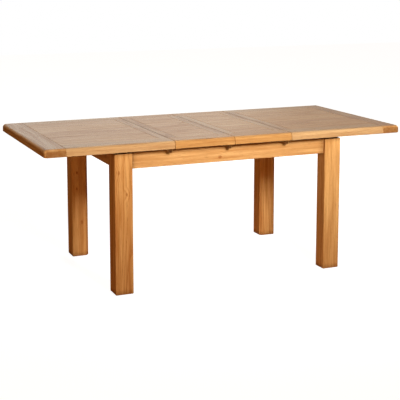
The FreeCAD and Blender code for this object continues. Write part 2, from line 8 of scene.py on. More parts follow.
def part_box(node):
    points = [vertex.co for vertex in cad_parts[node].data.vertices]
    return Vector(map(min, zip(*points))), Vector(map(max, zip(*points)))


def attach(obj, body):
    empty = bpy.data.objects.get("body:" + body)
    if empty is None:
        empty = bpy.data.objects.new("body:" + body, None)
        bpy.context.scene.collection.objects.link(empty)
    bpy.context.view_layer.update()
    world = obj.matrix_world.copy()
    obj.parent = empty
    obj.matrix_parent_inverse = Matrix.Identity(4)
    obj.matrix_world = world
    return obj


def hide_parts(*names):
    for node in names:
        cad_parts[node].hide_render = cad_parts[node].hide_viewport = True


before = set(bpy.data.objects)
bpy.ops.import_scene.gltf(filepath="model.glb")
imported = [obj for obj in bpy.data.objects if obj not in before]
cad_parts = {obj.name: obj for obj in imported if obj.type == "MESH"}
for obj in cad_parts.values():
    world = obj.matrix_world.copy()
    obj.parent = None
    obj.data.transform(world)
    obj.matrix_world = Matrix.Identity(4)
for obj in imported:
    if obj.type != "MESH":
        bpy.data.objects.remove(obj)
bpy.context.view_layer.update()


# Legs
# Four square posts of solid oak, planed, rounded along their arrises and finished in satin lacquer.
# The grain runs up the post, and each post is cut from another part of the tree.

def linear(code):
    """A colour written as sRGB hex, as linear light with full alpha."""
    parts = [int(code[i:i + 2], 16) / 255 for i in (1, 3, 5)]
    return [p / 12.92 if p <= 0.04045 else ((p + 0.055) / 1.055) ** 2.4 for p in parts] + [1.0]


def put(tree, kind, inputs=None, out=0, **settings):
    """Adds one node with its settings and links, and gives back one of its outputs, or all if out is None.

    Sockets go by name or by number: 1 to 4 of a MapRange are the range that comes in and the range that
    goes out, and 6 and 7 of a Mix are its two colours.
    """
    made = tree.nodes.new("ShaderNode" + kind)
    for key, value in settings.items():
        setattr(made, key, value)
    for key, value in (inputs or {}).items():
        if isinstance(value, bpy.types.NodeSocket):
            tree.links.new(value, made.inputs[key])
        else:
            made.inputs[key].default_value = value
    if out is None or not made.outputs:
        return made.outputs
    return made.outputs[out]


def coat(finish, *names):
    """Gives pieces of the frame their finish."""
    for name in names:
        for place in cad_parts[name].material_slots:
            place.material = finish


def new_finish(name):
    """A new material, with its node tree and its main shader."""
    finish = bpy.data.materials.new(name)
    finish.use_nodes = True
    return finish, finish.node_tree, finish.node_tree.nodes["Principled BSDF"]


SIDE_GLOSS = 0.004


def lacquered_wood(name, grain, cells, tones, gloss, seed, knots=(), open_joint=0.0, top_shade=0.0):
    """Solid wood cut from a log: rings about a pith, long streaks, open pores and darker end grain.

    grain names the axis along the grain. cells gives, for x, y and z, the width of a board, where the
    boards start and how far they go, so that every board gets its own part of the log. open_joint is the
    distance from one joint that opens to the next, where grime gathers. top_shade is how much painted shade
    darkens a flat top against the sides of the same wood.
    """
    finish, tree, shader = new_finish(name)
    widths, starts, reaches = zip(*(cells[axis] for axis in "xyz"))
    # The pore colour also paints shade on flat tops and in corners, the seam colour shade in grooves and
    # grime at joints
    pale, deep, knot, pore_and_shade, seam_and_shade = (linear(code) for code in tones)

    def grained(along, across):
        """One number for each axis: the first along the grain, the second across it."""
        return tuple(along if axis == grain else across for axis in "xyz")

    # Which board this is: its corner, and three numbers drawn by chance for it
    place = put(tree, "TexCoord", out="Object")
    held = put(tree, "VectorMath", {0: place, 1: tuple(-r for r in reaches)}, operation="MAXIMUM")
    held = put(tree, "VectorMath", {0: held, 1: reaches}, operation="MINIMUM")
    held = put(tree, "VectorMath", {0: held, 1: starts}, operation="SUBTRACT")
    corner = put(tree, "VectorMath", {0: held, 1: widths}, operation="SNAP")
    luck = put(tree, "TexWhiteNoise", {"Vector": corner, "W": seed}, "Color", noise_dimensions="4D")
    chance = put(tree, "SeparateColor", {0: luck}, None)
    within = put(tree, "VectorMath", {0: place, 1: starts}, operation="SUBTRACT")
    within = put(tree, "VectorMath", {0: within, 1: corner}, operation="SUBTRACT")
    boards_apart = 29.0
    apart = put(tree, "VectorMath", {0: luck, "Scale": boards_apart}, operation="SCALE")

    # Growth rings of oak, 2 to 4 mm apart, drawn at 6 mm so that they show in the render. They sway by 70 mm,
    # once in 1.4 m along the grain and once in 400 mm across it, about a pith that lies behind the board.
    ring_gap = 0.006
    ring_sway = 0.07
    sways_to_metre = grained(0.7, 2.5)
    pith_spread = (0.26, 0.26, 0.16)
    pith_setback = 0.17
    lean = put(tree, "VectorMath", {0: place, 1: sways_to_metre, 2: apart}, operation="MULTIPLY_ADD")
    lean = put(tree, "TexNoise", {"Vector": lean, "Scale": 1.0, "Detail": 1.0}, "Color")
    behind = tuple(width / 2 - pith_setback for width in widths)
    pith = put(tree, "VectorMath", {0: luck, 1: pith_spread, 2: behind}, operation="MULTIPLY_ADD")
    bend = put(tree, "VectorMath", {0: lean, 1: (ring_sway,) * 3, 2: within}, operation="MULTIPLY_ADD")
    bend = put(tree, "VectorMath", {0: bend, 1: pith}, operation="SUBTRACT")
    bend = put(tree, "VectorMath", {0: bend, 1: grained(0.0, 1.0)}, operation="MULTIPLY")
    radius = put(tree, "VectorMath", {0: bend}, "Value", operation="LENGTH")

    # Small sound knots: the rings swerve round a soft reddish heart, drawn out along the grain, with an edge
    # that is ragged every 8 mm. The swerve and the heart reach as many knot sizes as given here.
    rags_to_metre = 130.0
    drawn_out = grained(0.6, 1.0)
    swerve_reach, swerve = 5, 1.5
    heart_rim, heart_core, heart_depth = 1.6, 0.3, 0.7
    knot_dark = 0.0
    ragged = put(tree, "TexNoise", {"Vector": place, "Scale": rags_to_metre, "Detail": 2.0}, "Color")
    for centre, size in knots:
        spot = put(tree, "VectorMath", {0: ragged, 1: (2 * size,) * 3, 2: place}, operation="MULTIPLY_ADD")
        spot = put(tree, "VectorMath", {0: spot, 1: [c + size for c in centre]}, operation="SUBTRACT")
        spot = put(tree, "VectorMath", {0: spot, 1: drawn_out}, operation="MULTIPLY")
        away = put(tree, "VectorMath", {0: spot}, "Value", operation="LENGTH")
        pushed = put(tree, "MapRange", {0: away, 1: swerve_reach * size, 2: 0.0, 3: 0.0, 4: swerve * size})
        radius = put(tree, "Math", {0: radius, 1: pushed}, operation="ADD")
        rim, core = heart_rim * size, heart_core * size
        heart = put(tree, "MapRange", {0: away, 1: rim, 2: core, 3: 0.0, 4: heart_depth},
                    interpolation_type="SMOOTHSTEP")
        knot_dark = put(tree, "Math", {0: heart, 1: knot_dark}, operation="MAXIMUM")
    turn = put(tree, "Math", {0: radius, 1: 1 / ring_gap}, operation="MULTIPLY")
    turn = put(tree, "Math", {0: turn}, operation="FRACT")
    early = put(tree, "MapRange", {0: turn, 1: 0.7, 2: 0.1})

    # Streaks 9 mm wide and 170 mm long, drifts of colour 20 mm wide and 450 mm long, and pores 25 mm long.
    # The pores are drawn 1.25 mm wide, five times their size, so that they show.
    streaks_to_metre = grained(6.0, 110.0)
    drifts_to_metre = grained(2.2, 48.0)
    pores_to_metre = grained(40.0, 800.0)
    fine = put(tree, "VectorMath", {0: place, 1: streaks_to_metre, 2: apart}, operation="MULTIPLY_ADD")
    streak = put(tree, "TexNoise", {"Vector": fine, "Scale": 1.0, "Detail": 3.0, "Distortion": 0.25})
    streak = put(tree, "MapRange", {0: streak, 1: 0.3, 2: 0.7})
    broad = put(tree, "VectorMath", {0: place, 1: drifts_to_metre, 2: apart}, operation="MULTIPLY_ADD")
    drift = put(tree, "TexNoise", {"Vector": broad, "Scale": 1.0, "Detail": 2.0})
    drift = put(tree, "MapRange", {0: drift, 1: 0.3, 2: 0.7})
    open_grain = put(tree, "VectorMath", {0: place, 1: pores_to_metre, 2: apart}, operation="MULTIPLY_ADD")
    pores = put(tree, "TexNoise", {"Vector": open_grain, "Scale": 1.0, "Detail": 1.0})
    pores = put(tree, "MapRange", {0: pores, 1: 0.56, 2: 0.70})
    pores = put(tree, "Math", {0: pores, 1: early}, operation="MULTIPLY")

    # Colour: each pattern takes the wood some way from pale to deep, and then come knots and pores
    palest = -0.24
    streak_share, ring_share, drift_share, board_share = 0.46, 0.26, 0.60, 0.36
    pore_depth = 0.5
    tone = put(tree, "Math", {0: streak, 1: streak_share, 2: palest}, operation="MULTIPLY_ADD")
    tone = put(tree, "Math", {0: early, 1: ring_share, 2: tone}, operation="MULTIPLY_ADD")
    tone = put(tree, "Math", {0: drift, 1: drift_share, 2: tone}, operation="MULTIPLY_ADD")
    tone = put(tree, "Math", {0: chance[2], 1: board_share, 2: tone}, operation="MULTIPLY_ADD")
    wood = put(tree, "Mix", {0: tone, 6: pale, 7: deep}, 2, data_type="RGBA")
    wood = put(tree, "Mix", {0: knot_dark, 6: wood, 7: knot}, 2, data_type="RGBA")
    dark = put(tree, "Math", {0: pores, 1: pore_depth}, operation="MULTIPLY")
    wood = put(tree, "Mix", {0: dark, 6: wood, 7: pore_and_shade}, 2, data_type="RGBA")

    # End grain drinks the lacquer and goes deeper, and flat tops are darkened with painted shade. How much of
    # a face's normal points up says whether it is a side, a sloping arris or a level top.
    end_grain_depth = 0.62
    sloping, level = 0.6, 0.95
    facing = put(tree, "NewGeometry", out="Normal")
    turned = put(tree, "SeparateXYZ", {0: facing}, None)
    cut = put(tree, "Math", {0: turned["xyz".index(grain)]}, operation="ABSOLUTE")
    cut = put(tree, "MapRange", {0: cut, 1: 0.72, 2: 0.9, 3: 0.0, 4: end_grain_depth})
    wood = put(tree, "Mix", {0: cut, 6: wood, 7: pore_and_shade}, 2, data_type="RGBA")
    top_shade_mask = put(tree, "MapRange", {0: turned[2], 1: sloping, 2: level, 3: 0.0, 4: top_shade})
    wood = put(tree, "Mix", {0: top_shade_mask, 6: wood, 7: pore_and_shade}, 2, data_type="RGBA")

    # Painted shade: grooves under 8 mm wide are darkened where ambient occlusion finds them, more on a top
    # than on its sides, and corners sheltered within 35 mm are darkened with painted shade outside the
    # grooves
    groove = 0.008
    side_groove_shade, top_groove_shade = 0.15, 0.85
    corner_reach = 0.035
    corner_shade_depth = 0.5
    tight = put(tree, "AmbientOcclusion", {"Distance": groove}, "AO", samples=8)
    tight = put(tree, "MapRange", {0: tight, 1: 0.85, 2: 0.3})
    groove_shade_share = put(tree, "MapRange", {0: turned[2], 1: 0.2, 2: 0.6, 3: side_groove_shade, 4: top_groove_shade})
    groove_shade = put(tree, "Math", {0: tight, 1: groove_shade_share}, operation="MULTIPLY")
    wood = put(tree, "Mix", {0: groove_shade, 6: wood, 7: seam_and_shade}, 2, data_type="RGBA")
    corner_shade = put(tree, "AmbientOcclusion", {"Distance": corner_reach}, "AO", samples=6)
    corner_shade = put(tree, "MapRange", {0: corner_shade, 1: 0.97, 2: 0.7, 3: 0.0, 4: corner_shade_depth})
    roomy = put(tree, "Math", {0: 1.0, 1: tight}, operation="SUBTRACT")
    corner_shade = put(tree, "Math", {0: corner_shade, 1: roomy}, operation="MULTIPLY")
    wood = put(tree, "Mix", {0: corner_shade, 6: wood, 7: pore_and_shade}, 2, data_type="RGBA")

    # Joints that open gather a line of grime, 2 to 6 mm either side. Arrises within 4 mm are painted paler,
    # partly as wear and partly as a painted highlight.
    line_edge, line_core = 0.006, 0.002
    line_depth = 0.55 if open_joint else 0.0
    arris = 0.004
    arris_wear_and_highlight = 0.3
    across = put(tree, "SeparateXYZ", {0: held})
    across = put(tree, "Math", {0: across, 1: open_joint / 2}, operation="PINGPONG")
    grime = put(tree, "MapRange", {0: across, 1: line_edge, 2: line_core, 3: 0.0, 4: line_depth})
    wood = put(tree, "Mix", {0: grime, 6: wood, 7: seam_and_shade}, 2, data_type="RGBA")
    eased = put(tree, "Bevel", {"Radius": arris}, samples=4)
    eased = put(tree, "VectorMath", {0: eased, 1: facing}, "Value", operation="DOT_PRODUCT")
    lightened_edge = put(tree, "MapRange", {0: eased, 1: 0.98, 2: 0.8, 3: 0.0, 4: arris_wear_and_highlight})
    wood = put(tree, "Mix", {0: lightened_edge, 6: wood, 7: pale}, 2, data_type="RGBA")
    tree.links.new(wood, shader.inputs["Base Color"])

    # Tops and their rounded arrises are rubbed out to a satin, and the sides are left as sprayed. The grain
    # roughens both a little, and the pores stay open.
    sprayed = 0.8
    satin = 0.31 - 0.17 * gloss
    pore_drop = 0.0005
    rough = put(tree, "MapRange", {0: turned[2], 1: sloping, 2: level, 3: sprayed, 4: satin})
    rough = put(tree, "Math", {0: streak, 1: 0.06, 2: rough}, operation="MULTIPLY_ADD")
    rough = put(tree, "Math", {0: drift, 1: 0.1, 2: rough}, operation="MULTIPLY_ADD")
    rough = put(tree, "Math", {0: pores, 1: 0.2, 2: rough}, operation="MULTIPLY_ADD")
    tree.links.new(rough, shader.inputs["Roughness"])
    height = put(tree, "Math", {0: streak, 1: 0.3}, operation="MULTIPLY")
    height = put(tree, "Math", {0: height, 1: pores}, operation="SUBTRACT")
    bump = put(tree, "Bump", {"Strength": 0.3, "Distance": pore_drop, "Height": height})
    tree.links.new(bump, shader.inputs["Normal"])
    shader.inputs["IOR"].default_value = 1.5
    sheen = put(tree, "MapRange", {0: turned[2], 1: 0.2, 2: 0.7, 3: SIDE_GLOSS, 4: gloss})
    tree.links.new(sheen, shader.inputs["Specular IOR Level"])
    return finish


# Oak under clear lacquer: golden, with deeper streaks, reddish knots, brown pores and dark grime in the
# seams.
# The pore brown also paints shade on flat tops and in sheltered corners, and the seam colour paints shade in
# grooves.
OAK = ("#daad71", "#b07a43", "#86461c", "#643714", "#2c1508")
LEG_OAK = ("#daaa69", "#ae733b") + OAK[2:]
# Farther than the table reaches, and a single cell over all of it, for an axis that isn't parted into boards
FAR = 2.0
WHOLE = (2 * FAR, -FAR, FAR)
LEG_GLOSS = 0.1
leg_low, leg_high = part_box("front_right_leg")
# Each post stands in the middle of a cell of its own
span_x = leg_low[0] + leg_high[0]
span_y = -leg_low[1] - leg_high[1]
post_cells = {"x": (span_x, -span_x, FAR), "y": (span_y, -span_y, FAR), "z": WHOLE}
# Each knot's place on the front face of a left leg, and its size
leg_knots = [((-0.621, leg_low[1], 0.629), 0.006), ((-0.581, leg_low[1], 0.517), 0.005),
             ((-0.612, -leg_high[1], 0.489), 0.005), ((-0.614, -leg_high[1], 0.396), 0.005),
             ((-0.586, -leg_high[1], 0.201), 0.007)]
leg_oak = lacquered_wood("lacquered_oak_legs", "z", post_cells, LEG_OAK, LEG_GLOSS, seed=19.0,
                         knots=leg_knots)
coat(leg_oak, "front_left_leg", "front_right_leg", "back_left_leg", "back_right_leg")


# Aprons
# Four oak rails housed between the legs, with the grain along each rail.
# The end aprons are notched at the top where the sliding runners pass through.

# One cell for the apron on either side of the middle
SIDES = (1.0, -1.0, FAR)
apron_knots = [((-0.064, -0.412, 0.667), 0.006)]
side_oak = lacquered_wood("lacquered_oak_side_aprons", "x", {"x": WHOLE, "y": SIDES, "z": WHOLE}, OAK,
                          LEG_GLOSS, seed=11.0, knots=apron_knots)
coat(side_oak, "front_apron", "back_apron")
end_oak = lacquered_wood("lacquered_oak_end_aprons", "y", {"x": SIDES, "y": WHOLE, "z": WHOLE}, OAK,
                         LEG_GLOSS, seed=17.0)
coat(end_oak, "left_apron", "right_apron")


# Corner blocks, bearers and cross rails
# Plain beech inside the frame, sanded and waxed: the blocks are glued between two aprons, and the grooved
# bearers that carry the slides are screwed to the rails below them.

# Waxed beech: paler and pinker than the oak, with a fine even grain
BEECH = ("#d8b183", "#bf8f5d", "#a06a3c", "#8a5c36", "#4a2c16")
BILLETS = (0.11, 0.0, FAR)
frame_beech = lacquered_wood("waxed_beech_lengthwise", "x", {"x": WHOLE, "y": BILLETS, "z": WHOLE}, BEECH,
                             LEG_GLOSS, seed=23.0)
coat(frame_beech, "corner_blocks", "front_bearer", "back_bearer")
rail_beech = lacquered_wood("waxed_beech_crosswise", "y", {"x": BILLETS, "y": WHOLE, "z": WHOLE}, BEECH,
                            LEG_GLOSS, seed=29.0)
coat(rail_beech, "left_cross_rail", "right_cross_rail")


# Leg bolts, washers and nuts
# Two zinc-plated hanger bolts hold each leg; they run through the corner block to a washer and a hex nut.
# The rod is rolled with a coarse thread, and the nut is chamfered on both faces.

def add_piece(name, build, finish, body, slot, *nodes):
    """Turns a mesh under construction into a finished piece that rides on a body and stands for its nodes."""
    mesh = bpy.data.meshes.new(name)
    bmesh.ops.recalc_face_normals(build, faces=build.faces)
    build.to_mesh(mesh)
    build.free()
    mesh.materials.append(finish)
    piece = bpy.data.objects.new(name, mesh)
    bpy.context.scene.collection.objects.link(piece)
    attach(piece, body)
    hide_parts(*nodes)


def add_copy(build, shape, placing):
    """Adds a copy of a finished mesh to a mesh under construction, placed by a matrix."""
    before = len(build.verts)
    build.from_mesh(shape)
    build.verts.ensure_lookup_table()
    bmesh.ops.transform(build, matrix=placing, verts=build.verts[before:])


# Zinc plating: a bright grey metal with a faint yellow and blue bloom, and with fine scratches 5 mm long.
# These are 0.2 mm wide, and are drawn three times as wide so that they show.
BLOOM = 0.00625
SCRATCH_WIDTH = 0.000625
SCRATCH_LENGTH = 0.005
SCRATCH_DEPTH = 0.0001
zinc, tree, shader = new_finish("zinc_plated_steel")
shader.inputs["Metallic"].default_value = 1.0
place = put(tree, "TexCoord", out="Object")
bloom = put(tree, "TexNoise", {"Vector": place, "Scale": 1 / BLOOM, "Detail": 2.0})
bloom = put(tree, "MapRange", {0: bloom, 1: 0.35, 2: 0.65})
tint = put(tree, "Mix", {0: bloom, 6: linear("#c9c7bd"), 7: linear("#b4b9bd")}, 2, data_type="RGBA")
tree.links.new(tint, shader.inputs["Base Color"])
scratches = (1 / SCRATCH_WIDTH, 1 / SCRATCH_LENGTH, 1 / SCRATCH_WIDTH)
scratch = put(tree, "VectorMath", {0: place, 1: scratches}, operation="MULTIPLY")
scratch = put(tree, "TexNoise", {"Vector": scratch, "Scale": 1.0, "Detail": 1.0})
rough = put(tree, "MapRange", {0: scratch, 1: 0.3, 2: 0.7, 3: 0.26, 4: 0.44})
tree.links.new(rough, shader.inputs["Roughness"])
bump = put(tree, "Bump", {"Strength": 0.15, "Distance": SCRATCH_DEPTH, "Height": scratch})
tree.links.new(bump, shader.inputs["Normal"])

ROD_RADIUS = 0.004
ROD_LENGTH = 0.0861
THREAD_PITCH = 0.00125
THREAD_DEPTH = 0.0006
THREADS = 10
ROD_SIDES = 14
MERGED = 0.00001
NUT_HALF_WIDTH = 0.0065
NUT_HEIGHT = 0.0065
NUT_CHAMFER = 0.0007
NUT_PLAY = 0.0001
NUT_POINTS = 12
BOLT_DEPTH = 0.045
NUT_SEAT = 0.0766
CORNER_FLAT = 0.007
BOLT_LEVELS = (-0.016, 0.016)
rod = bmesh.new()
tip = ROD_LENGTH - THREADS * THREAD_PITCH
line = [(0.0, 0.0), (ROD_RADIUS, 0.0), (ROD_RADIUS, tip)]
for ridge in range(THREADS):
    line.append((ROD_RADIUS - THREAD_DEPTH, tip + (ridge + 0.5) * THREAD_PITCH))
    line.append((ROD_RADIUS - THREAD_DEPTH * (ridge == THREADS - 1), tip + (ridge + 1) * THREAD_PITCH))
line.append((0.0, ROD_LENGTH))
points = [rod.verts.new((radius, 0.0, height)) for radius, height in line]
edges = [rod.edges.new(pair) for pair in zip(points, points[1:])]
bmesh.ops.spin(rod, geom=points + edges, axis=(0, 0, 1), cent=(0, 0, 0), angle=math.tau, steps=ROD_SIDES,
               use_merge=True)
bmesh.ops.remove_doubles(rod, verts=rod.verts, dist=MERGED)
rod_mesh = bpy.data.meshes.new("rod")
rod.to_mesh(rod_mesh)
rod.free()

# The nut is a ring whose every other outer point is drawn out to a corner of the hexagon
nut = bmesh.new()
ring = bmesh.ops.create_circle(nut, segments=NUT_POINTS, radius=1.0)["verts"]
for number, vert in enumerate(ring):
    vert.co *= NUT_HALF_WIDTH / (math.cos(math.pi / 6) if number % 2 else 1.0)
bmesh.ops.create_circle(nut, segments=NUT_POINTS, radius=ROD_RADIUS + NUT_PLAY)
bmesh.ops.bridge_loops(nut, edges=nut.edges)
bmesh.ops.solidify(nut, geom=nut.faces, thickness=NUT_HEIGHT)
bmesh.ops.translate(nut, verts=nut.verts, vec=(0, 0, -min(vert.co.z for vert in nut.verts)))
wall = (ROD_RADIUS + NUT_HALF_WIDTH) / 2
outer = [edge for edge in nut.edges if all(vert.co.xy.length > wall for vert in edge.verts)
         and abs(edge.verts[0].co.z - edge.verts[1].co.z) < NUT_CHAMFER]
bmesh.ops.bevel(nut, geom=outer, offset=NUT_CHAMFER, affect="EDGES", segments=1, profile=0.5, material=-1)
nut_mesh = bpy.data.meshes.new("nut")
nut.to_mesh(nut_mesh)
nut.free()

rods = bmesh.new()
nuts = bmesh.new()
block_low, block_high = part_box("corner_blocks")
level = (block_low[2] + block_high[2]) / 2
for side_x in (-1, 1):
    for side_y in (-1, 1):
        site = Vector((side_x * (leg_low[0] + CORNER_FLAT), side_y * (CORNER_FLAT - leg_high[1]), level))
        inward = Vector((-side_x, -side_y, 0)).normalized()
        lay = inward.to_track_quat("Z", "Y").to_matrix().to_4x4()
        for step in BOLT_LEVELS:
            foot = site + Vector((0, 0, step)) - inward * BOLT_DEPTH
            for group, shape, along in ((rods, rod_mesh, 0.0), (nuts, nut_mesh, NUT_SEAT)):
                add_copy(group, shape, Matrix.Translation(foot + inward * along) @ lay)
add_piece("threaded_leg_bolts", rods, zinc, "base", "plated_steel", "leg_bolts")
add_piece("chamfered_leg_nuts", nuts, zinc, "base", "plated_steel", "leg_nuts")
coat(zinc, "leg_washers")


# Screws under the bearers
# Zinc-plated wood screws sit in counterbored pockets and pull the bearers down on to the cross rails.
# The pan heads are struck with a cross recess.

def cross_screw(head_radius, head_height, crown, shank_radius, length):
    """Mesh of a screw that points up from its seat: a head with a cross recess on a tapering shank."""
    build = bmesh.new()
    # The face of the head is a grid of squares with its rim drawn into a circle
    squares = 5
    square = 2 / squares
    face = bmesh.ops.create_grid(build, x_segments=squares, y_segments=squares, size=1.0)["verts"]
    for vert in face:
        if max(abs(vert.co.x), abs(vert.co.y)) > 1.0 - square / 2:
            vert.co.xy = vert.co.xy.normalized()
        vert.co.z = -crown / head_radius * (1.0 - vert.co.xy.length_squared)
    # The middle square and the four beside it are sunk, and narrow towards the bottom
    recess_taper = 0.6
    recess_depth = 0.45
    middles = {patch: patch.calc_center_median() for patch in build.faces}
    arms = [patch for patch, middle in middles.items() if middle.length < 1.5 * square
            and min(abs(middle.x), abs(middle.y)) < square / 4]
    rim = [edge for edge in build.edges if edge.is_boundary]
    sunk = bmesh.ops.extrude_face_region(build, geom=arms)["geom"]
    bmesh.ops.delete(build, geom=arms, context="FACES")
    deep = [item for item in sunk if isinstance(item, bmesh.types.BMVert)]
    bmesh.ops.scale(build, vec=(recess_taper, recess_taper, 1.0), verts=deep)
    bmesh.ops.translate(build, vec=(0, 0, recess_depth), verts=deep)
    bmesh.ops.scale(build, vec=(head_radius, head_radius, head_radius), verts=build.verts)
    bmesh.ops.translate(build, vec=(0, 0, -head_height), verts=build.verts)
    # The rim goes down to the seat and in to the neck, then along the tapering shank to the point
    neck = shank_radius / head_radius
    shank_taper, point_taper = 0.9, 0.05
    for height, share in ((head_height, 1.0 if crown else neck), (0.0, neck if crown else 1.0),
                          (length * 0.8, shank_taper), (length * 0.2, point_taper)):
        loop = bmesh.ops.extrude_edge_only(build, edges=rim)["geom"]
        rim = [item for item in loop if isinstance(item, bmesh.types.BMEdge)]
        moved = [item for item in loop if isinstance(item, bmesh.types.BMVert)]
        bmesh.ops.scale(build, vec=(share, share, 1.0), verts=moved)
        bmesh.ops.translate(build, vec=(0, 0, height), verts=moved)
    mesh = bpy.data.meshes.new("screw")
    build.to_mesh(mesh)
    build.free()
    return mesh


def drive(build, screw, places):
    """Adds a copy of a screw to a mesh under construction at each place."""
    for place in places:
        add_copy(build, screw, Matrix.Translation(place))


PAN_RADIUS = 0.004
PAN_HEIGHT = 0.002
PAN_CROWN = 0.0005
SHANK_RADIUS = 0.002
POCKET = 0.012
BASE_SCREW = 0.048
bearer_low, bearer_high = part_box("front_bearer")
bearer_y = (bearer_low[1] + bearer_high[1]) / 2
rail_low, rail_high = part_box("right_cross_rail")
rail_x = (rail_low[0] + rail_high[0]) / 2
screws = bmesh.new()
drive(screws, cross_screw(PAN_RADIUS, PAN_HEIGHT, PAN_CROWN, SHANK_RADIUS, BASE_SCREW),
      [(x, y, rail_low[2] + POCKET) for x in (-rail_x, rail_x) for y in (-bearer_y, bearer_y)])
add_piece("cross_head_base_screws", screws, zinc, "base", "plated_steel", "base_screws")


# Foot glides
# Round moulded nylon pads, each nailed into the foot of a leg so that the table slides without marking
# the floor.

# Nylon: a dull off-white with grey scuffs about 3 mm across
SCUFFS_TO_METRE = 300.0
SCUFF_DEPTH = 0.0002
nylon, tree, shader = new_finish("moulded_nylon")
place = put(tree, "TexCoord", out="Object")
scuff = put(tree, "TexNoise", {"Vector": place, "Scale": SCUFFS_TO_METRE, "Detail": 4.0})
scuff = put(tree, "MapRange", {0: scuff, 1: 0.5, 2: 0.75})
stain = put(tree, "Mix", {0: scuff, 6: linear("#cfc4b0"), 7: linear("#8f8371")}, 2, data_type="RGBA")
tree.links.new(stain, shader.inputs["Base Color"])
rough = put(tree, "MapRange", {0: scuff, 3: 0.4, 4: 0.7})
tree.links.new(rough, shader.inputs["Roughness"])
bump = put(tree, "Bump", {"Strength": 0.2, "Distance": SCUFF_DEPTH, "Height": scuff})
tree.links.new(bump, shader.inputs["Normal"])
shader.inputs["IOR"].default_value = 1.53
coat(nylon, "foot_glides")


# Boards of the top
# Field boards and edge boards lie lengthwise, tongued into crosswise end boards and joint rails.
# All are oak, glued up, sanded flush and lacquered, and the outer arrises are rounded over.

# The edge boards are greyer than the legs, and those of the leaves, which are kept out of the light, redder
EDGE_OAK = ("#c49f6f", "#a27649") + OAK[2:]
LEAF_EDGE_OAK = ("#c49559", "#a26e3a") + OAK[2:]
TOP_GLOSS = 0.62
CROSS_GLOSS = 0.7
LEAF = 0.33
BOARD = 0.1416
FIELD_BOARDS = 5
# Along the table each leaf is a cell, and so is each half, because the last cell takes in all that follows.
# Across it each field board is one. The rails' cells are a third of a leaf wide.
PANELS = (LEAF, 0.0, 0.5)
FIELD = (BOARD, -FIELD_BOARDS / 2 * BOARD, FAR)
RAILS = (LEAF / 3, 0.0, 0.98)
board_oak = lacquered_wood("lacquered_oak_boards", "x", {"x": PANELS, "y": FIELD, "z": WHOLE}, OAK, TOP_GLOSS,
                           seed=31.0, top_shade=0.22)
edge_cells = {"x": PANELS, "y": WHOLE, "z": WHOLE}
edge_oak = lacquered_wood("lacquered_oak_edge_boards", "x", edge_cells, EDGE_OAK, TOP_GLOSS, seed=23.0,
                          top_shade=0.1)
leaf_edge_oak = lacquered_wood("lacquered_oak_leaf_edge_boards", "x", edge_cells, LEAF_EDGE_OAK, TOP_GLOSS,
                               seed=23.0, top_shade=0.1)
cross_oak = lacquered_wood("lacquered_oak_crosswise", "y", {"x": RAILS, "y": WHOLE, "z": WHOLE}, OAK,
                           CROSS_GLOSS, seed=37.0, open_joint=LEAF, top_shade=0.42)
for half in ("left", "right"):
    coat(edge_oak, half + "_front_edge_board", half + "_back_edge_board")
    coat(board_oak, half + "_field_boards")
    coat(cross_oak, half + "_end_board", half + "_joint_rail")
for leaf in ("leaf_1", "leaf_2"):
    coat(leaf_edge_oak, leaf + "_edge_boards")
    coat(board_oak, leaf + "_field_boards")
    coat(cross_oak, leaf + "_left_rail", leaf + "_right_rail")


# Runners, packing strips and stops
# Beech slides screwed under the field boards; their tongues ride in the grooves of the bearers.
# The stops under them meet the end aprons when a half is fully drawn out.

for half in ("left", "right"):
    coat(frame_beech, half + "_runners", half + "_packing_strips", half + "_runner_stops")


# Catches
# A swivelling lever with a hanging finger tab on a screwed plate left of each joint, and a keeper with a
# stud right of it. Stamped from steel, brass-plated and darkened, with the plating bright where it is rubbed.

# Bronzed brass plating: brown, in clouds about 5 mm across, and bright gold on the rubbed edges
CLOUDS_TO_METRE = 220.0
RUBBED_EDGE = 0.0012
PLATING_DEPTH = 0.0002
bronzed, tree, shader = new_finish("bronzed_brass_plate")
shader.inputs["Metallic"].default_value = 1.0
place = put(tree, "TexCoord", out="Object")
cloudy = put(tree, "TexNoise", {"Vector": place, "Scale": CLOUDS_TO_METRE, "Detail": 3.0})
cloudy = put(tree, "MapRange", {0: cloudy, 1: 0.35, 2: 0.7})
metal = put(tree, "Mix", {0: cloudy, 6: linear("#86542a"), 7: linear("#50301a")}, 2, data_type="RGBA")
facing = put(tree, "NewGeometry", out="Normal")
eased = put(tree, "Bevel", {"Radius": RUBBED_EDGE}, samples=6)
eased = put(tree, "VectorMath", {0: eased, 1: facing}, "Value", operation="DOT_PRODUCT")
lightened_edge = put(tree, "MapRange", {0: eased, 1: 0.97, 2: 0.75, 3: 0.0, 4: 0.9})
metal = put(tree, "Mix", {0: lightened_edge, 6: metal, 7: linear("#c9964e")}, 2, data_type="RGBA")
tree.links.new(metal, shader.inputs["Base Color"])
rough = put(tree, "MapRange", {0: cloudy, 3: 0.32, 4: 0.5})
tree.links.new(rough, shader.inputs["Roughness"])
bump = put(tree, "Bump", {"Strength": 0.15, "Distance": PLATING_DEPTH, "Height": cloudy})
tree.links.new(bump, shader.inputs["Normal"])
coat(bronzed, "left_catch_plates", "leaf_1_catch_plates", "leaf_2_catch_plates")
coat(bronzed, "leaf_1_keepers", "leaf_2_keepers", "right_keepers")
for joint in ("left_joint", "mid_joint", "right_joint"):
    coat(bronzed, joint + "_front_lever", joint + "_back_lever")


# Screws of the top
# Pan-head screws in pockets hold the runners to the field boards and the stops to the runners.
# Small countersunk ones, flush with the plates, hold the catches and the keepers.

